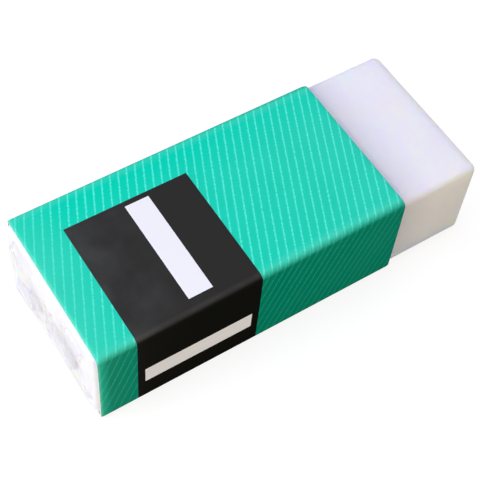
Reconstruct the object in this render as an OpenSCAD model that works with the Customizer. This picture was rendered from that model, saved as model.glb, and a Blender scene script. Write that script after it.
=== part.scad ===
// Drawing eraser: a soft white vinyl block, clear film folded over one end of it,
// and a printed card sleeve that slides along the block.
// +X runs along the block to its bare end, +Z is up, and the origin lies at the
// bottom centre of the whole eraser.

/* [Eraser block] */
// Length of the vinyl block
block_l = 60; // [40:0.5:90]
// Width of the vinyl block
block_w = 23.7; // [12:0.1:35]
// Height of the vinyl block
block_h = 14.6; // [8:0.1:22]
// Rounding of the block's long edges and of the edges round its ends
edge_r = 0.9; // [0.3:0.1:2.5]
// Rounding of the block's four upright corners
corner_r = 1.0; // [0.3:0.1:3]
// Rounding of the bare end's top edge, which rubs away first
end_r = 1.5; // [0.3:0.1:3]

/* [Card sleeve] */
// Length of the sleeve along the block
sleeve_l = 46.7; // [20:0.1:60]
// Thickness of the card
card_t = 0.22; // [0.16:0.02:0.5]
// Outer radius of the four folds
fold_r = 0.95; // [0.6:0.05:1.6]
// Width of the glued lap on the underside
lap_w = 8; // [4:0.5:10]
// Bare strip between the lap's outer cut edge and the fold beside it
lap_margin = 0.4; // [0.1:0.1:1]
// How far the wrapped end of the block stands out of the sleeve
wrapped_end = 0.4; // [0:0.1:10]

/* [Film wrap] */
// Thickness of the clear film
film_t = 0.03; // [0.02:0.01:0.08]
// How far inside the sleeve the film's cut edge lies
film_inset = 1.2; // [0.5:0.1:8]
// Width of the film's lap seam on the underside
seam_w = 5; // [3:0.5:6]
// Overlap of the top flap over the bottom flap at the folded end
flap_overlap = 2.2; // [0.5:0.1:4]
// Narrowest that a flap's free edge may get on a narrow or tall block
flap_tip = 1; // [0.5:0.1:3]
// Air between one folded layer and the next
fold_air = 0.06; // [0.04:0.01:0.2]

/* [Fits] */
// Play between the film and the card, on each side
slide_clearance = 0.04; // [0.03:0.01:0.15]

/* [Hidden] */
$fn = 64;

// The layers stack up from the block outwards
wrapped_w = block_w + 2 * film_t;
wrapped_h = block_h + 2 * film_t;
sleeve_w = wrapped_w + 2 * (slide_clearance + card_t);
// One card layer above the block, and the two layers of the glued lap below it
sleeve_h = wrapped_h + 2 * slide_clearance + 3 * card_t;
block_z = 2 * card_t + slide_clearance + film_t;
// The card can't fold rounder than the wrapped edge inside it
card_r = min(fold_r, edge_r + film_t + slide_clearance + card_t);

// Folded film end: one full layer, then the bottom flap, then the top flap. The
// flaps meet past half height unless their 45 degree sides meet first.
layer_step = film_t + fold_air;
end_pack = film_t + 2 * layer_step;
flap_base = wrapped_w - 2 * edge_r;
flap_depth = min((block_h + flap_overlap) / 2, (flap_base - flap_tip) / 2);

// Along X: the folded film, then the block or the sleeve, whichever reaches further
total_l = end_pack + max(block_l, wrapped_end + sleeve_l);
block_x = -total_l / 2 + end_pack;
sleeve_x = block_x + wrapped_end;
film_x1 = min(sleeve_x + sleeve_l, block_x + block_l) - film_inset;

// Rectangle w by h with rounded corners, standing on the first axis and centred on it
module rounded_rect(w, h, r) {
    translate([-w / 2 + r, 0]) square([w - 2 * r, h]);
    translate([-w / 2, r]) square([w, h - 2 * r]);
    for (side = [-1, 1], level = [r, h - r])
        translate([side * (w / 2 - r), level]) circle(r);
}

// Draws its outline in the Y-Z plane and carries it along +X
module along_x(length) {
    rotate([90, 0, 90]) linear_extrude(length) children();
}

// The block's outline seen from the side. The rectangle twice as large shares only the
// bare end's top corner with it and rounds that one
module side_outline() {
    intersection() {
        rounded_rect(block_l, block_h, edge_r);
        translate([-block_l / 2, -block_h]) rounded_rect(2 * block_l, 2 * block_h, end_r);
    }
}

// The block keeps what its three rounded outlines share: section, side and plan
module eraser_block() {
    color("whitesmoke")
    translate([block_x, 0, block_z])
    intersection() {
        along_x(block_l) rounded_rect(block_w, block_h, edge_r);
        translate([block_l / 2, block_w / 2, 0]) rotate([90, 0, 0])
            linear_extrude(block_w) side_outline();
        translate([block_l / 2, -block_w / 2, 0])
            linear_extrude(block_h) rounded_rect(block_l, block_w, corner_r);
    }
}

// One flap of the folded film end: a trapezoid with 45 degree sides. It hangs from
// the top edge (turned = 1) or stands on the bottom edge (turned = 0), and a narrow
// fold joins it to the layer below.
module end_flap(level, turned) {
    translate([0, 0, turned * wrapped_h]) mirror([0, 0, turned]) {
        translate([-level * layer_step - film_t, 0, 0]) along_x(film_t)
            polygon([[-flap_base / 2, 0], [flap_base / 2, 0],
                     [flap_base / 2 - flap_depth, flap_depth],
                     [-flap_base / 2 + flap_depth, flap_depth]]);
        translate([-level * layer_step - film_t, -flap_base / 2, 0])
            cube([level * layer_step + film_t, flap_base, film_t]);
    }
}

// The film is a thin tube on the block, closed at the folded end
module film_wrap() {
    seam_y = -block_w / 2 + edge_r + seam_w / 2;
    color("lightcyan", 0.5)
    translate([block_x, 0, block_z - film_t]) {
        difference() {
            translate([-film_t, 0, 0])
                along_x(film_x1 - block_x + film_t)
                    rounded_rect(wrapped_w, wrapped_h, edge_r + film_t);
            translate([0, 0, film_t])
                along_x(film_x1 - block_x + film_t)
                    rounded_rect(block_w, block_h, edge_r);
        }
        translate([0, seam_y - seam_w / 2, -film_t])
            cube([film_x1 - block_x, seam_w, film_t]);
        end_flap(1, 0);
        end_flap(2, 1);
    }
}

// Closed card tube of the full width, from height z0 up to the top of the sleeve
module card_tube(z0) {
    h = sleeve_h - z0;
    translate([0, z0])
    difference() {
        rounded_rect(sleeve_w, h, card_r);
        translate([0, card_t])
            rounded_rect(sleeve_w - 2 * card_t, h - 2 * card_t, card_r - card_t);
    }
}

// The strip starts with its glue lap, raised by one card thickness, goes up the far
// side, over the top and down the near side, and ends outside the lap
module card_sleeve() {
    split_z = card_t + card_r;
    lap_y = sleeve_w / 2 - lap_w;
    outer_end = sleeve_w / 2 - card_r - lap_margin;
    color("mediumaquamarine")
    translate([sleeve_x, 0, 0])
    along_x(sleeve_l) {
        difference() {
            card_tube(card_t);
            translate([-sleeve_w, 0])
                square([sleeve_w + lap_y, split_z]);
        }
        intersection() {
            card_tube(0);
            translate([-sleeve_w, 0])
                square([sleeve_w + outer_end, split_z]);
        }
    }
}

eraser_block();
film_wrap();
card_sleeve();
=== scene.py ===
# %% [markdown]
# # A drawing eraser in a printed card sleeve
# The real object has three parts. A block of soft white vinyl does the rubbing out. Clear film is wrapped
# round most of it and folded shut over one end, and a sleeve of printed card slides along the film. The
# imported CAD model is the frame: it gives every size and place, and this lesson gives each part its looks.

# %% Load the frame
from math import cos, hypot, pi, radians, sin, sqrt, tan

import bpy
from mathutils import Matrix, Vector, noise


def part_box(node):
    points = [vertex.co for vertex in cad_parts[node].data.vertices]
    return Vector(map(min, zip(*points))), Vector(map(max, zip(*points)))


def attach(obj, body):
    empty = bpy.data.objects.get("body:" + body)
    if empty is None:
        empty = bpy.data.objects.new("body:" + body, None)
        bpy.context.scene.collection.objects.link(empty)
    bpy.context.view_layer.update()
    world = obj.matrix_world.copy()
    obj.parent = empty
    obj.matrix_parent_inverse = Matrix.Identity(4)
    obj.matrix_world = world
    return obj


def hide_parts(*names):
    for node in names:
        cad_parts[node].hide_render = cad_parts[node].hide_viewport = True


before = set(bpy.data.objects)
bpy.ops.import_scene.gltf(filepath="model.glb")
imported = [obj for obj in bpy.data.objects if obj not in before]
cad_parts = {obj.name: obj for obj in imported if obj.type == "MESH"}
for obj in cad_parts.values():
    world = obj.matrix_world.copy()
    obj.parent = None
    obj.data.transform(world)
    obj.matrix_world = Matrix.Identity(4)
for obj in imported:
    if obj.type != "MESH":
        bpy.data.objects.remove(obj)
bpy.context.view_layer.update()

# %% [markdown]
# ## Sizes
# Small objects are easiest to think of in millimetres, while Blender and the frame count in metres. So
# lengths below are written in millimetres, and one factor takes them to metres. The outside of each part is
# read from the frame, and only what a box can't tell, such as the card's thickness, is written here.

# %% Sizes
MM = 0.001


def box_mm(node):
    """The lowest and highest corners of a CAD node, in millimetres."""
    low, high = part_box(node)
    return Vector(low) / MM, Vector(high) / MM


block_low, block_high = box_mm("eraser_block")
sleeve_low, sleeve_high = box_mm("card_sleeve")
film_stop = box_mm("film_wrap")[1].x  # the film's cut edge, inside the sleeve
block_mid = (block_low + block_high) / 2

CARD_THICK = 0.22  # coated card of about 200 g per square metre
FOLD_RADIUS = 0.95  # outside of the two upper folds
FOOT_FOLD = 0.5  # the two lower folds are pressed harder
LAP_WIDTH = 8.0  # the glued lap under the sleeve
LAP_MARGIN = 0.4  # bare strip between the outer cut edge and the far fold
EDGE_RADIUS = 0.9  # the block's long edges, and the edges round its ends
CORNER_RADIUS = 1.0  # the block's upright corners
END_RADIUS = 1.5  # the bare end's top edge, rubbed rounder
FILM_THICK = 0.03

for name, low, high in (("block", block_low, block_high), ("sleeve", sleeve_low, sleeve_high)):
    print(name, "is", " x ".join(f"{b - a:.1f}" for a, b in zip(low, high)), "mm")

# %% [markdown]
# ## Helpers for materials
# Colours are written as sRGB hex values, the way a printer or a web page gives them. Light adds up in
# linear values, so one function turns hex to linear. A material is a tree of nodes, and one more function
# adds a node of any kind. Its own settings go in by name. Its inputs go in by name or in order, and each
# gets a value or a link. In order, a Map Range node takes the value, the range it has and the range it gets.

# %% Helpers for materials


def linear(hex_code):
    """An sRGB hex colour such as "#1FD3B8" as linear red, green, blue and alpha 1."""
    parts = [int(hex_code[i : i + 2], 16) / 255 for i in (1, 3, 5)]
    return [p / 12.92 if p <= 0.04045 else ((p + 0.055) / 1.055) ** 2.4 for p in parts] + [1.0]


def add(tree, kind, inputs=(), **settings):
    """Adds one shader node. An input gets a value, or a link from a socket or from a node's first output."""
    made = tree.nodes.new("ShaderNode" + kind)
    for name, value in settings.items():
        setattr(made, name, value)
    pairs = inputs.items() if isinstance(inputs, dict) else enumerate(inputs)
    for key, value in pairs:
        if isinstance(value, bpy.types.Node):
            value = next(output for output in value.outputs if output.enabled)
        if isinstance(value, bpy.types.NodeSocket):
            tree.links.new(value, made.inputs[key])
        else:
            made.inputs[key].default_value = value
    return made


def empty_material(name):
    """A material with nothing in its tree, and that tree."""
    material = bpy.data.materials.new(name)
    material.use_nodes = True
    material.node_tree.nodes.clear()
    return material, material.node_tree


print("half grey, #808080, is", round(linear("#808080")[0], 3), "in linear light")

# %% [markdown]
# ## The camera
# A long lens close to a small thing shows it the way a catalogue does: from above one corner, with edges
# that draw together only slightly. The camera is placed by turning round the object, rising above it and
# backing off, which is easier to read and to change than three coordinates and three angles.

# %% Camera
AIM = Vector((-1.94, -1.72, 7.7))  # the middle of the view, almost the object's middle
TURN, RISE, ROLL = radians(-37.5), radians(56.12), radians(6.09)
BACK_OFF = 164.3
LENS = 90.0
NEAREST = 5.0  # nothing closer to the lens than this is drawn

toward = Vector((sin(TURN) * cos(RISE), -cos(TURN) * cos(RISE), sin(RISE)))
level = Vector((cos(TURN), sin(TURN), 0))
right = level * cos(ROLL) + toward.cross(level) * sin(ROLL)
up = toward.cross(right)

camera = bpy.data.objects.new("camera", bpy.data.cameras.new("camera"))
camera.data.lens = LENS
camera.data.clip_start = NEAREST * MM
camera.matrix_world = Matrix.Translation((AIM + toward * BACK_OFF) * MM) @ Matrix(
    (right, up, toward)
).transposed().to_4x4()
bpy.context.scene.collection.objects.link(camera)
bpy.context.scene.camera = camera
print("the camera stands", [round(c) for c in (AIM + toward * BACK_OFF)], "mm from the origin")

# %% [markdown]
# ## The studio
# The light is soft and comes mainly from above and from the wrapped end. So the top and that end are bright,
# and the long side towards the camera is in gentle shade. The object lies on a white sheet. A sheet lit only
# by these lamps would be grey, so what the lens sees of it, straight or in a mirror, is lifted to white with
# a little emission. The lamps light only what lies in front of them, so further off the lift has to grow.
# All other light meets plain paper, which keeps the object's shadow.

# %% Floor
WHITE_LIFT = 0.84  # emission on top of the lit paper, round the object
WHITE_FROM, WHITE_TO = 90.0, 260.0  # further off, the lift alone grows to white
SHEET_HALF = 1500.0
bpy.context.scene.view_settings.view_transform = "Standard"


def seen_by_lens(tree):
    """1 for what the lens sees, straight or by way of a mirror or glass, and 0 for all other light."""
    rays = add(tree, "LightPath").outputs
    seen = add(tree, "Math", (rays["Is Camera Ray"], rays["Is Glossy Ray"]), operation="MAXIMUM")
    return add(tree, "Math", (seen, rays["Is Transmission Ray"]), operation="MAXIMUM")


paper, tree = empty_material("white_sheet")
place = add(tree, "TexCoord").outputs["Object"]
off = add(tree, "VectorMath", (place,), operation="LENGTH")
reach = (off, WHITE_FROM * MM, WHITE_TO * MM, WHITE_LIFT, 1.0)
lift = add(tree, "Emission", {"Strength": add(tree, "MapRange", reach, interpolation_type="SMOOTHSTEP")})
lit = add(tree, "BsdfDiffuse", {"Color": linear("#828282")})
seen_sheet = add(tree, "AddShader", (lit, lift))
add(tree, "OutputMaterial", {"Surface": add(tree, "MixShader", (seen_by_lens(tree), lit, seen_sheet))})

corners = [(x * SHEET_HALF * MM, y * SHEET_HALF * MM, 0) for x, y in ((-1, -1), (1, -1), (1, 1), (-1, 1))]
floor_mesh = bpy.data.meshes.new("floor")
floor_mesh.from_pydata(corners, [], [(0, 1, 2, 3)])
floor_mesh.materials.append(paper)
floor = bpy.data.objects.new("floor", floor_mesh)
bpy.context.scene.collection.objects.link(floor)
print("the sheet is", 2 * SHEET_HALF * MM, "m wide")

# %% World and lamps
# The sky gives the object a weak warm light from all round, and the lens sees it as plain white.
AMBIENT = 0.2

world = bpy.data.worlds.new("studio")
bpy.context.scene.world = world
world.use_nodes = True
tree = world.node_tree
tree.nodes.clear()
glow = add(tree, "Background", {"Color": linear("#FFF3E0"), "Strength": AMBIENT})
white = add(tree, "Background", {"Color": linear("#FFFFFF"), "Strength": 1.0})
add(tree, "OutputWorld", {"Surface": add(tree, "MixShader", (seen_by_lens(tree), glow, white))})


def softbox(name, place, size, watts, colour):
    """A square area lamp at a place in millimetres, turned to face the object."""
    lamp = bpy.data.lights.new(name, "AREA")
    lamp.size, lamp.energy, lamp.color = size * MM, watts, linear(colour)[:3]
    holder = bpy.data.objects.new(name, lamp)
    holder.location = Vector(place) * MM
    holder.rotation_euler = (Vector(place) - block_mid).to_track_quat("Z", "Y").to_euler()
    bpy.context.scene.collection.objects.link(holder)
    print(name, "gives", watts, "W from", round((Vector(place) - block_mid).length), "mm away")


softbox("overhead", place=(-80, 120, 520), size=380, watts=1.84, colour="#D8DFFF")
softbox("wrapped_end_fill", place=(-460, 50, 90), size=300, watts=3.05, colour="#FFFDFA")
softbox("bare_end_fill", place=(380, 120, 90), size=220, watts=0.4, colour="#FFF4E6")
softbox("front_fill", place=(-60, -430, 130), size=300, watts=1.03, colour="#F9EDD7")

# %% [markdown]
# ## The vinyl block
# Eraser vinyl is PVC with a lot of plasticiser and chalk. It is pressed in a mould and cut, so its faces
# are almost flat and its edges are softly rounded. Subdivision would round every edge alike. Here a grid box
# is bent instead: first the upright corners onto circles seen from above, then the rim round the top and
# the bottom, so both radii come out as in the CAD part. Last, the bare end's top edge is rounded further,
# because that edge rubs away first.

# %% A rounded box made of a grid
ROUND_STEPS = 8


def stops(half, radius, step):
    """Grid positions from -half to half: even in the middle, and closer together on the roundings."""
    flat = half - radius
    count = max(1, round(2 * flat / step))
    middle = [-flat + 2 * flat * i / count for i in range(count + 1)]
    bend = [flat + radius * tan(pi / 4 * i / ROUND_STEPS) for i in range(1, ROUND_STEPS + 1)]
    return [-b for b in reversed(bend)] + middle + bend


def onto_circle(a, b):
    """Moves a point of a square corner onto the circle that fits in it."""
    scale = max(a, b) / hypot(a, b)
    return a * scale, b * scale


def rounded_place(point, half, corner, edge):
    """Where a point on the surface of a plain box ends up on the rounded box."""
    x, y, z = (abs(c) for c in point)
    sign = [1 if c >= 0 else -1 for c in point]
    a, b = x - (half[0] - corner), y - (half[1] - corner)
    outward = Vector((1, 0)) if a > b else Vector((0, 1))
    if a > 0 and b > 0:
        outward = Vector((a, b)).normalized()
        a, b = onto_circle(a, b)
        x, y = half[0] - corner + a, half[1] - corner + b
        depth = corner - hypot(a, b)
    else:
        depth = corner - max(a, b)
    inside, rise = edge - depth, z - (half[2] - edge)
    if inside > 0 and rise > 0:
        bent, rise = onto_circle(inside, rise)
        x += outward[0] * (bent - inside)
        y += outward[1] * (bent - inside)
        z = half[2] - edge + rise
    return Vector((x * sign[0], y * sign[1], z * sign[2]))


def face_normal(point, half):
    """The direction of the box side that a point lies on, or between its sides on a rounded edge."""
    near = [max(0, 1 - (h - abs(c)) / EDGE_RADIUS) * (1 if c > 0 else -1) for c, h in zip(point, half)]
    return Vector(near).normalized() if any(near) else Vector((0, 0, 1))


def rounded_box(half, corner, edge, steps):
    """Points and faces of a rounded box round the origin, as a grid of quads on six sides."""
    lines = [stops(h, radius, step) for h, radius, step in zip(half, (corner, corner, edge), steps)]
    points, index, faces = [], {}, []

    def corner_of(place):
        if place not in index:
            index[place] = len(points)
            flat_point = [line[at] for line, at in zip(lines, place)]
            points.append(rounded_place(flat_point, half, corner, edge))
        return index[place]

    for axis in range(3):
        across, along = (axis + 1) % 3, (axis + 2) % 3
        for end in (0, len(lines[axis]) - 1):
            for i in range(len(lines[across]) - 1):
                for j in range(len(lines[along]) - 1):
                    ring = [(i, j), (i + 1, j), (i + 1, j + 1), (i, j + 1)]
                    if end == 0:
                        ring.reverse()
                    quad = []
                    for u, v in ring:
                        place = [0, 0, 0]
                        place[axis], place[across], place[along] = end, u, v
                        quad.append(corner_of(tuple(place)))
                    faces.append(quad)
    return points, faces


# %% Turn points into a piece


def piece(name, points, faces, materials, body, stand_for):
    """Makes a smooth mesh object from points in millimetres, and tells the frame where it belongs."""
    mesh = bpy.data.meshes.new(name)
    mesh.from_pydata([tuple(p * MM for p in point) for point in points], [], faces)
    for material in materials:
        mesh.materials.append(material)
    mesh.shade_smooth()
    made = bpy.data.objects.new(name, mesh)
    bpy.context.scene.collection.objects.link(made)
    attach(made, body)
    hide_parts(*stand_for)
    return made


def grid_faces(rows, columns):
    """Quads between points that lie in rows: this many rows of quads, and this many quads in each."""
    faces = []
    for row in range(rows):
        for column in range(columns):
            at = row * (columns + 1) + column
            faces.append((at, at + columns + 1, at + columns + 2, at + 1))
    return faces


SHARP = radians(40)  # an edge that turns further than this stays sharp


def thicken(made, thickness, **settings):
    """Gives a sheet its thickness with Solidify, applies it and keeps the cut edges sharp."""
    solid = made.modifiers.new("thickness", "SOLIDIFY")
    solid.thickness = thickness * MM
    for name, value in settings.items():
        setattr(solid, name, value)
    graph = bpy.context.evaluated_depsgraph_get()
    full = bpy.data.meshes.new_from_object(made.evaluated_get(graph))
    made.modifiers.clear()
    made.data = full
    full.set_sharp_from_angle(angle=SHARP)
    print(made.name, "has", len(full.polygons), "faces")


# %% Vinyl
# Plasticised PVC, pressed and cut: light sinks in and spreads for several millimetres, so edges glow and
# shade is never hard. The surface is dull and slightly waxy, with a fine powdery grain. Beside the sleeve's
# mouth a darker tint is painted in, as painted shade where less light gets into the vinyl.
VINYL_SPREAD = 5.0  # how far light travels inside, in millimetres
GRAIN, GRAIN_DEPTH = 0.35, 0.008  # the mould's texture, coarser than real so that it shows
PATCH = 9.0  # the width of the duller and the waxier patches
MOUTH_SHADE, MOUTH_SHADE_RUN = 0.22, 7.0  # how dark the painted shade is at the mouth, and how far from it it fades out

vinyl, tree = empty_material("plasticised_pvc_vinyl")
place = add(tree, "TexCoord").outputs["Object"]
grain = add(tree, "TexNoise", {"Vector": place, "Scale": 1 / (GRAIN * MM), "Detail": 3.0})
patches = add(tree, "TexNoise", {"Vector": place, "Scale": 1 / (PATCH * MM), "Detail": 2.0})
whites = {"Factor": patches, "A": linear("#EDEDFB"), "B": linear("#F1F1FE")}
lengthwise = add(tree, "SeparateXYZ", (place,)).outputs["X"]
# Painted shade: the vinyl is tinted darker towards the sleeve's mouth
mouth = (lengthwise, sleeve_high.x * MM, (sleeve_high.x + MOUTH_SHADE_RUN) * MM, MOUTH_SHADE, 0.0)
shaded_by_mouth = {
    "Factor": add(tree, "MapRange", mouth, interpolation_type="SMOOTHSTEP"),
    "A": add(tree, "Mix", whites, data_type="RGBA"),
    "B": linear("#9F9760"),
}
pressed = {
    "Base Color": add(tree, "Mix", shaded_by_mouth, data_type="RGBA"),
    "Roughness": add(tree, "MapRange", {"Value": patches, "To Min": 0.42, "To Max": 0.6}),
    "IOR": 1.53,
    "Specular IOR Level": 0.2,
    "Subsurface Weight": 1.0,
    "Subsurface Radius": (1.0, 0.7, 0.25),
    "Subsurface Scale": VINYL_SPREAD * MM,
    "Normal": add(tree, "Bump", {"Height": grain, "Distance": GRAIN_DEPTH * MM, "Strength": 0.6}),
}
add(tree, "OutputMaterial", {"Surface": add(tree, "BsdfPrincipled", pressed)})
print("the vinyl's shading reaches", MOUTH_SHADE_RUN, "mm from the sleeve")

# %% Vinyl block
WAVE = 0.05  # how far the cut faces dip, in millimetres
WAVE_LENGTH = 11.0
BLOCK_STEPS = (0.3, 0.6, 0.4)  # the grid along, across and up
PIT_AT = Vector((block_high.x - 11.6, block_low.y, 10.4))  # a moulding blemish by the sleeve's mouth
PIT_RADIUS, PIT_DEPTH = 0.5, 0.14
block_half = (block_high - block_low) / 2


def wavy(point, outward):
    """The point, drawn in a little where the soft block has dipped."""
    dip = noise.noise(point / WAVE_LENGTH) * 0.5 + 0.5
    away = (point + block_mid - PIT_AT).length / PIT_RADIUS
    pit = max(0, 1 - away * away) * PIT_DEPTH
    return point - outward * (WAVE * dip + pit)


def rub_end(point):
    """Rounds the bare end's top edge on, from the block's edge radius to a larger one."""
    u = point.x - (block_half.x - END_RADIUS)
    v = point.z - (block_half.z - END_RADIUS)
    if u <= 0 or v <= 0:
        return point
    core = END_RADIUS - EDGE_RADIUS
    c, s = u / hypot(u, v), v / hypot(u, v)
    # How far off the surface is now in this direction: on a flat face, or on the smaller rounding
    if END_RADIUS * min(c, s) <= core * max(c, s):
        reach = END_RADIUS / max(c, s)
    else:
        reach = core * (c + s) + sqrt(core * core * ((c + s) ** 2 - 2) + EDGE_RADIUS**2)
    x = block_half.x - END_RADIUS + u * END_RADIUS / reach
    z = block_half.z - END_RADIUS + v * END_RADIUS / reach
    return Vector((x, point.y, z))


points, faces = rounded_box(block_half, CORNER_RADIUS, EDGE_RADIUS, BLOCK_STEPS)
points = [rub_end(wavy(p, face_normal(p, block_half))) + block_mid for p in points]
piece("vinyl_block", points, faces, [vinyl], "block", ["eraser_block"])
print("vinyl_block has", len(faces), "faces")

# %% [markdown]
# ## The clear film
# The film is stretched polypropylene, the same as on a box of tea. It is pulled round the block and sealed
# along one lap underneath. Its open end is folded shut like an envelope: the two sides are tucked in, the
# bottom flap goes up and the top flap comes down over it. Film has next to no thickness, and a solid so thin
# only gives the light more surfaces to cross. So it is built as single sheets that lie on each other.

# %% Film
# Stretched polypropylene: clear, glossy and stiff for its thickness. It mirrors more at a flat angle, and
# otherwise shows what lies under it. Only a sheet's outer side mirrors. Where a sheet is marked, grey milk
# is
# mixed in: a milky band at the seal and along cut edges, and painted shade along creases and where it
# clings.
FILM_IOR = 1.49

film, tree = empty_material("stretched_polypropylene_film")
milk_and_shade = add(tree, "Attribute", attribute_name="crease").outputs["Fac"]
clear = add(tree, "BsdfTransparent", {"Color": linear("#FDFDFE")})
grey_milk_and_shade = add(tree, "BsdfDiffuse", {"Color": linear("#C2C1CA")})
body = add(tree, "MixShader", (milk_and_shade, clear, grey_milk_and_shade))
gloss = add(tree, "BsdfGlossy", {"Roughness": 0.12})
behind = add(tree, "NewGeometry").outputs["Backfacing"]
front = add(tree, "Math", (1.0, behind), operation="SUBTRACT")
shine = add(tree, "Math", (add(tree, "Fresnel", {"IOR": FILM_IOR}), front), operation="MULTIPLY")
add(tree, "OutputMaterial", {"Surface": add(tree, "MixShader", (shine, body, gloss))})


def mark_milk_and_shade(made, values):
    """Notes at each point of a sheet its milkiness and painted shade, for its material to read."""
    made.data.attributes.new("crease", "FLOAT", "POINT").data.foreach_set("value", values)


mirrored = ((FILM_IOR - 1) / (FILM_IOR + 1)) ** 2
print("seen straight on, the film mirrors", round(100 * mirrored, 1), "percent")

# %% Film round the block
# The tube is a rounded box just outside the vinyl. Its face at the wrapped end is left out, because the
# folded sheets close that end, and so is all that lies past the film's cut edge.
CLING = 0.004  # air between film and vinyl
FILM_STEPS = (1.5, 0.7, 0.7)
TINY = 1e-6

film_half = Vector([h + CLING + FILM_THICK for h in block_half])
points, faces = rounded_box(film_half, CORNER_RADIUS, EDGE_RADIUS, FILM_STEPS)
points = [p + block_mid for p in points]
end_x = block_mid.x - film_half.x
faces = [
    face
    for face in faces
    if min(points[i].x for i in face) < film_stop and max(points[i].x for i in face) > end_x + TINY
]
points = [Vector((min(p.x, film_stop), p.y, p.z)) for p in points]
used = sorted({i for face in faces for i in face})
new_index = {old: new for new, old in enumerate(used)}
faces = [[new_index[i] for i in face] for face in faces]
points = [points[i] for i in used]
piece("film_tube", points, faces, [film], "block", ["film_wrap"])
print("film_tube has", len(faces), "faces and ends at x =", round(film_stop, 1))

# %% Film seam
# The two edges of the film overlap under the block, where a hot bar has left a milky band along the middle.
# The last number of a noise's place, here and below, only picks one of many patterns.
SEAM_FROM, SEAM_WIDE = block_low.y + EDGE_RADIUS, 5.0
SEAM_STEP = 0.25
SEAM_RIPPLE, RIPPLE_SIZE = 0.01, (3, 1.5)
SEAL_MILK = 0.35

seam_z = block_low.z - CLING - 2 * FILM_THICK
strips = round(SEAM_WIDE / SEAM_STEP)
length = film_stop - end_x - EDGE_RADIUS
stretches = round(length)
points, sealed = [], []
for strip in range(strips + 1):
    y = SEAM_FROM + SEAM_WIDE * strip / strips
    under_bar = abs(y - SEAM_FROM - SEAM_WIDE / 2) < SEAM_WIDE / 4
    for stretch in range(stretches + 1):
        x = end_x + EDGE_RADIUS + length * stretch / stretches
        ripple = SEAM_RIPPLE * noise.noise(Vector((x / RIPPLE_SIZE[0], y / RIPPLE_SIZE[1], 2.2)))
        points.append(Vector((x, y, seam_z + ripple)))
        sealed.append(SEAL_MILK if under_bar else 0.0)
faces = grid_faces(strips, stretches)
seam = piece("film_seam", points, faces, [film], "block", ["film_wrap"])
mark_milk_and_shade(seam, sealed)
print("film_seam is", round(SEAM_WIDE, 1), "mm wide and", round(length, 1), "mm long")

# %% [markdown]
# ## The folded end
# This is the part of the film that everyone sees, and it is never smooth. Air is trapped under it, hard
# creases run across it, and where it clings to the vinyl it sinks. Along the creases and over the clinging
# places grey is painted into the film as painted shade. Cloth simulation could crumple the sheets, but not
# where one wants it. So the creases are a list of lines, and the places that cling are a list of outlines.
# Each sheet is a grid that takes its height and its painted shade from both.

# %% Creases and clinging places
# Places on the end are in mm across it, from the near side to the far side, and up it, from its middle.
CREASES = [  # from one place to another, then height and painted shade
    ((-0.5, 5.6), (-0.4, -5.9), 0.14, 0.05),  # the ridge over the two tucks' edges
    ((6.7, 0.4), (2.0, 2.8), 0.10, 0.75),
    ((1.4, 0.7), (4.4, -3.1), 0.08, 0.45),
    ((0.6, 0.9), (0.5, -2.2), 0.06, 0.55),
    ((-1.0, 3.5), (-2.1, 4.9), 0.08, 0.75),
    ((-2.4, 5.2), (-5.2, 5.8), 0.06, 0.35),
    ((9.2, 6.2), (7.8, 3.4), 0.06, 0.80),
    ((-9.4, 5.6), (-8.7, 2.8), 0.05, 0.70),
    ((-9.4, -2.4), (-10.4, -4.2), 0.05, 0.80),
    ((0.3, -4.1), (0.2, -5.0), 0.04, 1.00),
    ((-7.7, -0.1), (-5.8, -3.3), 0.05, 0.45),
]
CLINGING = [  # painted shade, then the corners round the place
    (
        0.38,
        ((-0.9, 1.2), (-2.4, 2.0), (-6.4, 1.3), (-7.9, -0.2), (-5.9, -3.5), (-3.0, -2.8), (-0.9, -2.5)),
    ),
    (0.36, ((6.6, 0.0), (2.0, 2.7), (1.1, 1.3), (1.6, -0.5), (4.3, -3.3), (5.1, -2.0))),
    (0.34, ((0.8, 1.9), (0.1, 2.0), (-0.1, -3.7), (0.8, -3.8))),
    (0.14, ((9.6, -4.2), (-3.0, -4.4), (-3.3, -6.0), (9.9, -6.0))),
    (0.40, ((-9.5, -2.4), (-10.2, -2.2), (-10.9, -4.0), (-10.3, -4.5))),
]
CREASE_WIDTH = 0.34
CLING_EDGE = 0.45  # how softly a clinging place ends
CLING_SINK = 0.07
BAYS, BAY_SIZE = 0.7, 1.1  # the depth of the bays in such a place's edge, as a share, and their width
MOTTLE = 0.3  # how much the painted shade varies inside it
SHADE_PER_SHEET = 0.5  # each of the two or three sheets at a place adds its share of painted shade
AIR, AIR_SWING = 0.165, 0.18  # how far trapped air lifts the folded end, and by how much that varies
AIR_SIZE = (3.6, 2.6)  # the width and height of the air's bumps
FAR_AIR, FAR_RUN = 0.3, 8.0  # how much more air the far half holds, and over what width it comes in
LEAST_LIFT = 0.02  # nowhere is the film nearer to the vinyl than this


def distance_to_line(a, b, p, q):
    """Distance in the plane from point (a, b) to the stretch from p to q."""
    run = Vector(q) - Vector(p)
    from_p = Vector((a, b)) - Vector(p)
    share = min(1, max(0, from_p.dot(run) / run.dot(run)))
    return (from_p - run * share).length


def depth_inside(a, b, corners):
    """How far inside a convex outline a place lies; negative outside it."""
    depths = []
    middle = sum((Vector(c) for c in corners), Vector((0, 0))) / len(corners)
    for p, q in zip(corners, corners[1:] + corners[:1]):
        across = Vector((q[1] - p[1], p[0] - q[0])).normalized()
        side = 1 if across.dot(middle - Vector(p)) > 0 else -1
        depths.append(side * across.dot(Vector((a, b)) - Vector(p)))
    return min(depths)


def smooth(value):
    """0 below 0, 1 above 1, and an even curve between them."""
    value = min(1, max(0, value))
    return value * value * (3 - 2 * value)


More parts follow.
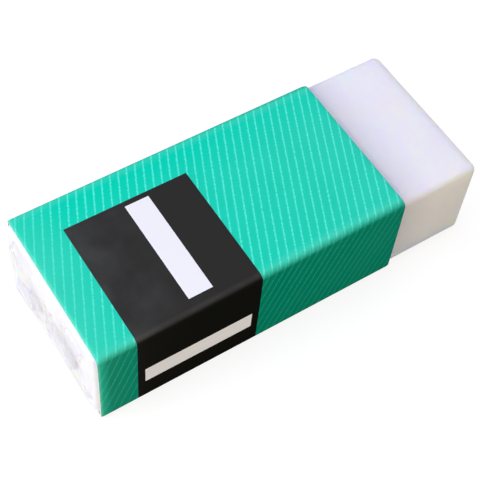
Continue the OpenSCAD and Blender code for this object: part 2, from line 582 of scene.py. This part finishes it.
def end_relief(a, b):
    """How far the folded end stands out at a place, besides its layers, and how much painted shade the film
    has there.
    """
    wave = noise.noise(Vector((a / AIR_SIZE[0], b / AIR_SIZE[1], 1.7)))
    # white: how much grey milk the film gets here, all of it painted shade
    lift, white = AIR + AIR_SWING * wave + FAR_AIR * smooth(a / FAR_RUN), 0.0
    for p, q, height, crease_shade in CREASES:
        near = distance_to_line(a, b, p, q) / CREASE_WIDTH
        lift += height * max(0, 1 - near / 2)
        white = max(white, crease_shade * max(0, 1 - near))
    uneven = noise.noise(Vector((a, b, 4.2)) / BAY_SIZE)
    for grey, corners in CLINGING:
        share = smooth(0.5 + depth_inside(a, b, corners) / CLING_EDGE + BAYS * uneven)
        lift -= CLING_SINK * share
        white = max(white, grey * share * (1 + MOTTLE * uneven))
    return max(LEAST_LIFT, lift), white * SHADE_PER_SHEET


print("the folded end has", len(CREASES), "creases and", len(CLINGING), "places that cling")

# %% Folded sheets
FLAT_Y = film_half.y - CORNER_RADIUS  # half the width and height of the end's flat part
FLAT_Z = film_half.z - EDGE_RADIUS
LAYER = 0.085  # from one folded layer to the next
SHEET_STEP = 0.16
RIM = 0.9  # the sheets leave the block within this width, all round the end
STRAY, STRAYS = 0.16, 5  # how far a free edge strays from a straight line, and how often
CUT_MILK, CUT_WIDTH = 0.12, 0.3  # a cut edge looks a little milky


def half_width(outline, down):
    """Half the width of a sheet at a distance from its root."""
    for (d0, w0), (d1, w1) in zip(outline, outline[1:]):
        if d0 <= down <= d1 + TINY:
            half = w0 + (w1 - w0) * (down - d0) / (d1 - d0)
    return half


def end_sheet(name, root, inward, level, outline):
    """One folded sheet: it starts at its root, runs inward over the end, and lies so many layers up."""
    sideways = Vector((abs(inward.y), abs(inward.x)))
    depth = outline[-1][0]
    rows, columns = round(depth / SHEET_STEP), round(2 * outline[0][1] / SHEET_STEP)
    points, milk_and_shade = [], []
    for row in range(rows + 1):
        down = depth * row / rows
        half = half_width(outline, down)
        for column in range(columns + 1):
            share = 2 * column / columns - 1
            stray = STRAY * noise.noise(Vector((share * STRAYS, level * 3.1, 0.4))) * row / rows
            a, b = root + inward * (down + stray) + sideways * (half * share)
            rise = smooth(min(FLAT_Y - abs(a), FLAT_Z - abs(b)) / RIM)
            lift, white = end_relief(a, b)
            from_cut = min((1 - abs(share)) * half, depth - down)
            points.append(Vector((end_x - rise * (LAYER * level + lift), a, block_mid.z + b)))
            milk_and_shade.append(min(1, white + CUT_MILK * smooth(1 - from_cut / CUT_WIDTH) * rise))
    faces = grid_faces(rows, columns)
    made = piece(name, points, faces, [film], "block", ["film_wrap"])
    mark_milk_and_shade(made, milk_and_shade)
    if made.data.polygons[0].normal.x > 0:
        made.data.flip_normals()
    print(name, "has", len(faces), "faces")


# Outlines of the folded sheets: distance from the root, and half the width there
TUCK = [(0.0, FLAT_Z), (7.0, FLAT_Z)]
BOTTOM_FLAP = [(0.0, 9.95), (2.7, 9.3), (5.9, 7.8), (7.2, 7.4)]
TOP_FLAP = [(0.0, 9.7), (2.9, 8.1), (7.0, 7.1), (9.6, 6.7)]
end_sheet("film_tuck_near", Vector((-FLAT_Y, 0)), Vector((1, 0)), 1, TUCK)
end_sheet("film_tuck_far", Vector((FLAT_Y, 0)), Vector((-1, 0)), 1, TUCK)
end_sheet("film_flap_bottom", Vector((0, -FLAT_Z)), Vector((0, 1)), 2, BOTTOM_FLAP)
end_sheet("film_flap_top", Vector((0, FLAT_Z)), Vector((0, -1)), 3, TOP_FLAP)

# %% [markdown]
# ## The card sleeve
# A carton maker starts from a flat sheet: it is printed, scored, folded and glued. The sleeve is made the
# same way here. A path walks round the section, straight along each panel and round each fold, and every
# point remembers how far along the sheet it is. That distance becomes the UV map in millimetres, so the
# print is laid out on the flat sheet and folds with it. A box with a picture wrapped round it would need
# every line of the print matched by hand at each fold.

# %% Card
# Bleached pulp board: the uncoated back and the cut edges are plain white paper with loose fibres.
PULP, PULP_DEPTH = 0.4, 0.02  # clumps of fibres, coarser than real so that they show

paper_core, tree = empty_material("bleached_card_core")
place = add(tree, "TexCoord").outputs["Object"]
fibres = add(tree, "TexNoise", {"Vector": place, "Scale": 1 / (PULP * MM), "Detail": 4.0})
whites = {"Factor": fibres, "A": linear("#EDECEA"), "B": linear("#F8F8F7")}
board = {
    "Base Color": add(tree, "Mix", whites, data_type="RGBA"),
    "Roughness": 0.85,
    "Specular IOR Level": 0.2,
    "Normal": add(tree, "Bump", {"Height": fibres, "Distance": PULP_DEPTH * MM, "Strength": 0.4}),
}
add(tree, "OutputMaterial", {"Surface": add(tree, "BsdfPrincipled", board)})
print("the card is", CARD_THICK, "mm thick")

# %% Fold path
FOLD_STEPS = 10
RUN_STEP = 0.8


def fold_path(start, runs, folds):
    """Walks round the outside of the section from the lap's free edge.

    For each point it gives y, z, the distance walked, and how near the point is to the middle of a
    panel: 1 in the middle and 0 at a fold.
    """
    y, z = start
    turn, distance = 0.0, 0.0
    walked = [(y, z, distance, 0.0)]
    for run, radius in zip(runs, folds + [0]):
        count = max(1, round(run / RUN_STEP))
        for i in range(1, count + 1):
            y, z = y + cos(turn) * run / count, z + sin(turn) * run / count
            distance += run / count
            walked.append((y, z, distance, 4 * (i / count) * (1 - i / count)))
        if radius:
            middle = Vector((y - radius * sin(turn), z + radius * cos(turn)))
            for i in range(1, FOLD_STEPS + 1):
                angle = turn + pi / 2 * i / FOLD_STEPS
                y, z = middle + radius * Vector((sin(angle), -cos(angle)))
                distance += radius * pi / 2 / FOLD_STEPS
                walked.append((y, z, distance, 0.0))
            turn += pi / 2
    return walked


half_y = sleeve_high.y
lap_run = LAP_WIDTH - FOOT_FOLD
side_run = sleeve_high.z - sleeve_low.z - FOLD_RADIUS - FOOT_FOLD
top_run = 2 * (half_y - FOLD_RADIUS)
under_run = (half_y - FOOT_FOLD) + (half_y - FOLD_RADIUS - LAP_MARGIN)
folds = [FOOT_FOLD, FOLD_RADIUS, FOLD_RADIUS, FOOT_FOLD]
start = (half_y - LAP_WIDTH, sleeve_low.z + CARD_THICK)
path = fold_path(start, [lap_run, side_run - CARD_THICK, top_run, side_run, under_run], folds)

upper_fold, foot_fold = FOLD_RADIUS * pi / 2, FOOT_FOLD * pi / 2
top_middle = lap_run + foot_fold + side_run - CARD_THICK + upper_fold + top_run / 2
side_start = top_run / 2 + upper_fold
side_end = side_start + side_run
sleeve_length = sleeve_high.x - sleeve_low.x
print(f"the flat sheet is {sleeve_length:.1f} x {path[-1][2]:.1f} mm")

# %% [markdown]
# ## The print
# The sleeve is offset printed on coated card under a dull varnish, which gives flat, even ink with a soft
# sheen. The top is mint green with fine paler lines, and its inks hold a painted sheen. The sides have
# deeper inks, which are painted shade for the side in shade. A black label with a bare bar on the top and
# one on the near side runs from the top down that side. A picture of it would be quick but would blur close
# up. So fields and lines are worked out from the place on the flat sheet, in millimetres: along it from the
# wrapped end, and around it from the middle of the top towards the near side.

# %% The flat sheet
LABEL = (5.5, 23.9, -6.86, side_end + foot_fold / 2)  # first and last millimetre along, then around
TOP_BAR = (14.1, 17.65, -6.08, 10.05)
SIDE_BAR = (6.6, 22.8, side_start + 7.05, side_start + 10.3)
RAG, BLOTCH, FIBRE, SPECK = 0.35, 5.0, 0.3, 0.2  # sizes of four patterns; the fibre is coarser than real

printed, tree = empty_material("offset_print_on_coated_card")
sheet = add(tree, "UVMap", uv_map="flat_sheet")
place = add(tree, "SeparateXYZ", (sheet,)).outputs
along, around = place["X"], place["Y"]
from_middle = add(tree, "Math", (around,), operation="ABSOLUTE")
rag = add(tree, "TexNoise", {"Vector": sheet, "Scale": 1 / RAG, "Detail": 2.0})
blotch = add(tree, "TexNoise", {"Vector": sheet, "Scale": 1 / BLOTCH, "Detail": 3.0})
fibre = add(tree, "TexNoise", {"Vector": sheet, "Scale": 1 / FIBRE, "Detail": 3.0})
speck = add(tree, "TexNoise", {"Vector": sheet, "Scale": 1 / SPECK, "Detail": 1.0})


def field(first, last, low, high):
    """1 inside a rectangle of the sheet, and 0 outside it."""
    in_length = add(tree, "Math", (along, (first + last) / 2, (last - first) / 2), operation="COMPARE")
    in_width = add(tree, "Math", (around, (low + high) / 2, (high - low) / 2), operation="COMPARE")
    return add(tree, "Math", (in_length, in_width), operation="MULTIPLY")


on_label = field(*LABEL)
print("the label is", round(LABEL[1] - LABEL[0], 1), "mm wide and", round(LABEL[3] - LABEL[2], 1), "mm long")

# %% Lines
# Each line is a thin field of paler ink. The card's fibres take it unevenly, so it is beaded and its edges
# wander. A gradual change is written as four numbers: where it starts, where it ends, and the share of the
# ink at both.
LINE_PITCH = 1.262  # from one line to the next, along the sleeve
LINE_START = 0.70
LINE_WIDTH, LINE_BLUR = 0.2, 0.05  # ink spreads a little into the card
TOP_SLANT, SIDE_SLANT = 0.465, 0.41  # how far a line falls back for each millimetre around the sheet
SIDE_PIVOT = side_start + 6.8  # where a line of the side would meet the top's line if that ran on
WAVER = 0.3  # how far a line's edges wander, for the pattern's whole range
BEADS = (0.4, 0.6, 0.6, 1.0)
TOP_LINES_COME_IN = (0.0, 9.0, 0.6, 1.0)
SIDE_LINES_FADE = (33.0, 46.0, 1.0, 0.75)
LOW_LINES_FADE = (side_start + 4.0, side_end, 1.0, 0.7)

beads = add(tree, "MapRange", (fibre, *BEADS))
waver = add(tree, "Math", (rag, 0.5), operation="SUBTRACT")


def lines_at(slanted):
    """1 on the lines and 0 between them, where slanted is the place along the sleeve plus the slant."""
    from_start = add(tree, "Math", (slanted, LINE_START), operation="SUBTRACT")
    from_line = add(tree, "Math", (from_start, LINE_PITCH / 2), operation="PINGPONG")
    from_line = add(tree, "Math", (from_line, 1 / hypot(1, TOP_SLANT)), operation="MULTIPLY")
    from_line = add(tree, "Math", (waver, WAVER, from_line), operation="MULTIPLY_ADD")
    edge = (from_line, LINE_WIDTH / 2 - LINE_BLUR, LINE_WIDTH / 2 + LINE_BLUR, 1.0, 0.0)
    return add(tree, "Math", (beads, add(tree, "MapRange", edge)), operation="MULTIPLY")


top_line = lines_at(add(tree, "Math", (around, TOP_SLANT, along), operation="MULTIPLY_ADD"))
share = add(tree, "MapRange", (along, *TOP_LINES_COME_IN))
top_line = add(tree, "Math", (top_line, share), operation="MULTIPLY")

slanted = add(tree, "Math", (around, SIDE_SLANT, along), operation="MULTIPLY_ADD")
which_side = add(tree, "Math", (around,), operation="SIGN")
jog = add(tree, "Math", (which_side, (TOP_SLANT - SIDE_SLANT) * SIDE_PIVOT), operation="MULTIPLY")
side_line = lines_at(add(tree, "Math", (slanted, jog), operation="ADD"))
share = add(tree, "MapRange", (along, *SIDE_LINES_FADE))
side_line = add(tree, "Math", (side_line, share), operation="MULTIPLY")
share = add(tree, "MapRange", (from_middle, *LOW_LINES_FADE))
side_line = add(tree, "Math", (side_line, share), operation="MULTIPLY")
print("the lines are", round(LINE_PITCH / hypot(1, TOP_SLANT), 2), "mm apart")

# %% Inks
# The deeper inks of the sides are painted shade, for the side that lies in shade. They come in over the
# fold, and start a little past the edge of the top panel, nearer to it at the bare end than at the wrapped
# end.
CHANGE_AT = (1.07, 0.5)  # how far past the top panel: at the wrapped end, then at the bare end
CHANGE_BLUR = (0.55, 0.2)  # how softly they come in: green, then black
PAINTED_GLOW_AT_CUT = (0.0, 1.6, 0.2, 1.0)  # painted light close to the wrapped end's cut edge
# Painted light: the side is paler towards the wrapped end, as if lit from there
PAINTED_LIGHT_FROM_END = (0.0, 16.0, 0.87, 1.0)
CLOUDS = (0.3, 0.7)  # the part of the blotches' range over which an ink varies
TOP_SHEEN_FADES = (-4.0, -10.0)  # from here to here around the sheet, the top's painted sheen fades out
LABEL_SHEEN_FADES = (18.0, 7.0)  # and from here to here along it, a painted sheen makes the label's black paler

edge_of_top = [top_run / 2 + past for past in CHANGE_AT]
change = add(tree, "MapRange", (along, 0.0, sleeve_length, *edge_of_top))
from_change = add(tree, "Math", (from_middle, change), operation="SUBTRACT")
blur = add(tree, "MapRange", (on_label, 0.0, 1.0, *CHANGE_BLUR))
in_blurs = add(tree, "Math", (from_change, blur), operation="DIVIDE")
off_top = add(tree, "MapRange", (in_blurs, -1.0, 1.0))
# Painted light: near the wrapped end the sides' inks give way to the top's
thin = add(tree, "MapRange", (along, *PAINTED_GLOW_AT_CUT))
light_from_end = add(tree, "MapRange", (along, *PAINTED_LIGHT_FROM_END))
share = add(tree, "Math", (thin, light_from_end), operation="MULTIPLY")
side_shade_share = add(tree, "Math", (off_top, share), operation="MULTIPLY")

cloud = add(tree, "MapRange", (blotch, *CLOUDS))
# The top's greens hold a painted sheen, which fades out towards the far side
greens = {"Factor": cloud, "A": linear("#20D4B4"), "B": linear("#26D7B8")}
greens = {
    "Factor": add(tree, "MapRange", (around, *TOP_SHEEN_FADES)),
    "A": add(tree, "Mix", greens, data_type="RGBA"),
    "B": linear("#0CD6B5"),
}
lined = {"Factor": top_line, "A": add(tree, "Mix", greens, data_type="RGBA"), "B": linear("#5BF4DE")}
top_print = add(tree, "Mix", lined, data_type="RGBA")
# Painted shade: the sides' deeper greens and their lines
greens = {"Factor": cloud, "A": linear("#028D75"), "B": linear("#0A9178")}
lined = {"Factor": side_line, "A": add(tree, "Mix", greens, data_type="RGBA"), "B": linear("#27B89C")}
side_print_in_painted_shade = add(tree, "Mix", lined, data_type="RGBA")
green = add(tree, "Mix", {"Factor": side_shade_share, "A": top_print, "B": side_print_in_painted_shade}, data_type="RGBA")

# Painted sheen: the label's black is paler towards the wrapped end
label_sheen = add(tree, "MapRange", (along, *LABEL_SHEEN_FADES))
label_sheen = add(tree, "Math", (cloud, label_sheen), operation="MULTIPLY")
blacks = {"Factor": label_sheen, "A": linear("#30302F"), "B": linear("#404140")}
top_black = add(tree, "Mix", blacks, data_type="RGBA")
# Painted shade: the sides' black. The top's blacks hold a painted sheen
black = add(tree, "Mix", {"Factor": side_shade_share, "A": top_black, "B": linear("#161715")}, data_type="RGBA")
ink = add(tree, "Mix", {"Factor": on_label, "A": green, "B": black}, data_type="RGBA")
print("the inks change", CHANGE_AT, "mm past the top panel")

# %% Wear
# Handling rubs the ink thin along the folds' crests, chips it at the wrapped end's cut edge, and breaks it
# through to the card in a few specks on the folds. The crests' paler band is also a painted sheen where they
# catch the light, and both ends are paler with a painted sheen.
CREST = 0.5  # the crest lies this far before the change of ink
CREST_WIDTH = (1.1, 0.45)  # how wide the crest's wear and painted sheen reach: green, then black
CREST_EDGE = (0.2, 1.0, 1.0, 0.0)  # the rubbing fades over this part of that width
CREST_WEAR_AND_SHEEN = (0.35, 0.65, 0.025, 0.045)  # the blotches' range, and the share of ink lost or painted paler at both ends of it
BLACK_SHARE = 0.5  # the black loses only half as much
SPECKS_AT = (0.1, 0.4, 1.0, 0.0)  # specks lie this close to the crest
SPECK_EDGE = (0.78, 0.8)  # and only where their pattern is this high
CHIPS_AT = (0.0, 0.45, 0.3, 0.0)  # chips lie this close to the cut edge
CHIPS = (0.3, 0.7, 0.3, 1.0)  # and vary with the finer blotches
# Painted sheen: the print is paler towards the wrapped end and towards the bare end
WRAPPED_END_SHEEN, BARE_END_SHEEN = (7.0, 0.5, 0.0, 0.028), (26.0, 46.0, 0.0, 0.015)
WRAPPED_SHEEN_SIDES, BARE_SHEEN_SIDES = 0.55, 0.25  # the share of those two painted sheens that the sides get

to_crest = add(tree, "Math", (from_change, CREST), operation="ADD")
to_crest = add(tree, "Math", (to_crest,), operation="ABSOLUTE")
width = add(tree, "MapRange", (on_label, 0.0, 1.0, *CREST_WIDTH))
in_widths = add(tree, "Math", (to_crest, width), operation="DIVIDE")
crest = add(tree, "MapRange", (in_widths, *CREST_EDGE))
# rubbed: ink rubbed thin on the crests, and a painted sheen there
rubbed = add(tree, "Math", (crest, add(tree, "MapRange", (blotch, *CREST_WEAR_AND_SHEEN))), operation="MULTIPLY")
share = add(tree, "MapRange", (on_label, 0.0, 1.0, 1.0, BLACK_SHARE))
rubbed = add(tree, "Math", (rubbed, share), operation="MULTIPLY")

near_crest = add(tree, "MapRange", (to_crest, *SPECKS_AT))
through = add(tree, "MapRange", (speck, *SPECK_EDGE))
specks = add(tree, "Math", (near_crest, through), operation="MULTIPLY")
near_cut = add(tree, "MapRange", (along, *CHIPS_AT))
chips = add(tree, "Math", (near_cut, add(tree, "MapRange", (rag, *CHIPS))), operation="MULTIPLY")

# Painted sheen towards both ends, weaker on the sides
end_sheen = add(tree, "MapRange", (along, *WRAPPED_END_SHEEN))
share = add(tree, "MapRange", (off_top, 0.0, 1.0, 1.0, WRAPPED_SHEEN_SIDES))
wrapped_end_sheen = add(tree, "Math", (end_sheen, share), operation="MULTIPLY")
end_sheen = add(tree, "MapRange", (along, *BARE_END_SHEEN))
share = add(tree, "MapRange", (off_top, 0.0, 1.0, 1.0, BARE_SHEEN_SIDES))
bare_end_sheen = add(tree, "Math", (end_sheen, share), operation="MULTIPLY")
ends_sheen = add(tree, "Math", (wrapped_end_sheen, bare_end_sheen), operation="ADD")

# The crests' rubbed ink and painted sheen, and the ends' painted sheen
thinned_and_sheen = add(tree, "Math", (rubbed, ends_sheen), operation="ADD")
broken = add(tree, "Math", (specks, chips), operation="MAXIMUM")
worn_and_sheen = add(tree, "Math", (thinned_and_sheen, broken), operation="MAXIMUM")
# Towards the bare card: wear where the ink is lost, painted sheen where it is only paler
ink = add(tree, "Mix", {"Factor": worn_and_sheen, "A": ink, "B": linear("#EAE6DE")}, data_type="RGBA")
print("ink is lost at the cut edge over", CHIPS_AT[1], "mm")

# %% Ink and bare bars
# Matt ink hardly mirrors at all. The bars show the card's own smooth coating, which does.
FIBRE_DEPTH = 0.006

fine = {"Height": fibre, "Distance": FIBRE_DEPTH * MM, "Strength": 0.5}
matt_ink = {
    "Base Color": ink,
    "Roughness": add(tree, "MapRange", (blotch, *CLOUDS, 0.42, 0.52)),
    "Specular IOR Level": 0.0,
    "Normal": add(tree, "Bump", fine),
}
coating = {
    "Base Color": linear("#EEEEF2"),
    "Roughness": 0.35,
    "Specular IOR Level": 0.8,
    "Normal": add(tree, "Bump", fine),
}
bars = add(tree, "Math", (field(*TOP_BAR), field(*SIDE_BAR)), operation="MAXIMUM")
face = (bars, add(tree, "BsdfPrincipled", matt_ink), add(tree, "BsdfPrincipled", coating))
add(tree, "OutputMaterial", {"Surface": add(tree, "MixShader", face)})
print("the print has", len(tree.nodes), "nodes")

# %% Fold the sheet
BOW = 0.05  # each panel stands up to this proud of the block in its middle
USUAL_BOW, BOW_SWING = 0.7, 0.5  # the usual share of that, and by how much it varies
BOW_SIZE = (14.0, 9.0)  # how far its high and low places reach, along the sleeve and around it
LOOSE = 0.07  # the sleeve is this much wider than the block on each side, but not at its two mouths
CURL, CURL_LENGTH = 0.09, 0.9  # the knife that cut the card has pressed its edges inwards
CURL_STEPS, LONG_STEPS = 8, 58

bent = [CURL_LENGTH * i / CURL_STEPS for i in range(CURL_STEPS)]
long_run = sleeve_length - 2 * CURL_LENGTH
straight = [CURL_LENGTH + long_run * i / LONG_STEPS for i in range(LONG_STEPS + 1)]
stations = bent + straight + [sleeve_length - x for x in reversed(bent)]

points, sheet_uv = [], []
for row, (y, z, distance, middle) in enumerate(path):
    before, after = path[max(0, row - 1)], path[min(len(path) - 1, row + 1)]
    outward = Vector((after[1] - before[1], before[0] - after[0])).normalized()
    on_panel = lap_run < distance < path[-1][2] - under_run
    for x in stations:
        share = USUAL_BOW + BOW_SWING * noise.noise(Vector((x / BOW_SIZE[0], distance / BOW_SIZE[1], 0.3)))
        proud = outward * (BOW * middle * share if on_panel else 0)
        near_cut = max(0, 1 - min(x, sleeve_length - x) / CURL_LENGTH)
        wider = LOOSE - CURL * near_cut**3
        out_y = proud.x + wider * y / half_y
        out_z = proud.y + wider * z / sleeve_high.z
        points.append(Vector((sleeve_low.x + x, y + out_y, z + out_z)))
        sheet_uv.append((x, distance - top_middle))
faces = grid_faces(len(path) - 1, len(stations) - 1)
inks = [printed, paper_core, paper_core]
sleeve = piece("folded_sleeve", points, faces, inks, "sleeve", ["card_sleeve"])
layer = sleeve.data.uv_layers.new(name="flat_sheet")
for loop in sleeve.data.loops:
    layer.data[loop.index].uv = sheet_uv[loop.vertex_index]
# Offset -1 grows the card inwards, and the other two give its back and its cut edges the bare board
thicken(sleeve, CARD_THICK, offset=-1, material_offset=1, material_offset_rim=2)
